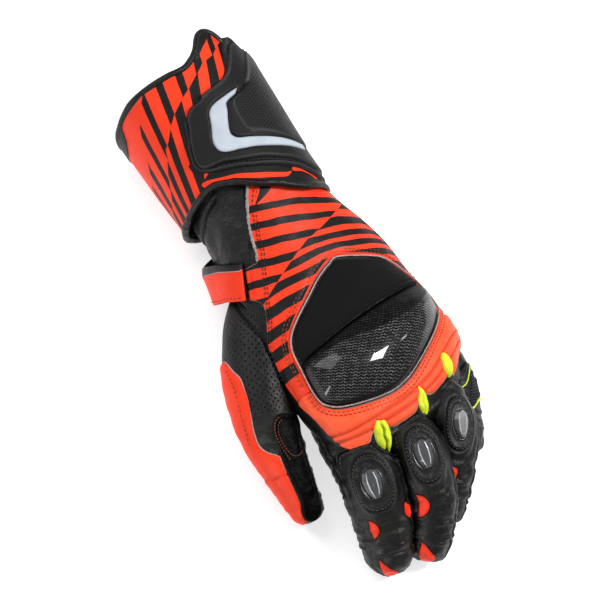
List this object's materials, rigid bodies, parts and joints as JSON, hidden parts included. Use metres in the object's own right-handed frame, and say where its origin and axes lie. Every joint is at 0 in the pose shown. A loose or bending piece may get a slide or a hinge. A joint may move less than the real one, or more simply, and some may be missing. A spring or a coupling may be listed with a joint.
{
  "type": "leather motorcycle glove",
  "caption": "Long gauntlet race glove for the left hand in black and red leather, with a domed knuckle guard, finger sliders, ribbed flex panel and armoured cuff.",
  "frame": {"origin": "middle of the bounding box, on the surface that the glove rests on", "axes": "+Z out of the back of the hand, -Y towards the fingertips, +Y towards the cuff's mouth, -X towards the thumb"},
  "size_m": [0.1408, 0.315, 0.082],
  "materials": {
    "black_leather": "satin",
    "red_leather": "satin",
    "printed_leather": "satin, red with black stripes",
    "black_fabric": "matte",
    "neon_leather": "matte",
    "grey_trim": "matte",
    "moulded_armor": "satin",
    "slider_plastic": "gloss",
    "carbon_fibre": "clear gloss over twill",
    "reflective_inlay": "satin"
  },
  "bodies": {
    "root": {"wrist_sleeve": "black_leather", "palm": "black_leather", "hand_back": "black_leather", "finger_index": "black_leather", "finger_middle": "black_leather", "finger_ring": "black_leather", "finger_little": "black_leather", "thumb": "black_leather", "thumb_grip": "black_leather", "cuff_rim_binding": "black_leather", "cuff_edge_piping": "black_leather", "flex_panel": "red_leather", "wrist_strap": "red_leather", "thumb_patch": "red_leather", "cuff": "printed_leather", "back_panel": "printed_leather", "knuckle_panel": "black_fabric", "gusset_1": "neon_leather", "gusset_2": "neon_leather", "gusset_3": "neon_leather", "knuckle_piping": "grey_trim", "cuff_armor": "moulded_armor", "slider_index": "slider_plastic", "slider_middle": "slider_plastic", "slider_ring": "slider_plastic", "knuckle_guard": "carbon_fibre", "chevron_inlay": "reflective_inlay"}
  },
  "joints": []
}
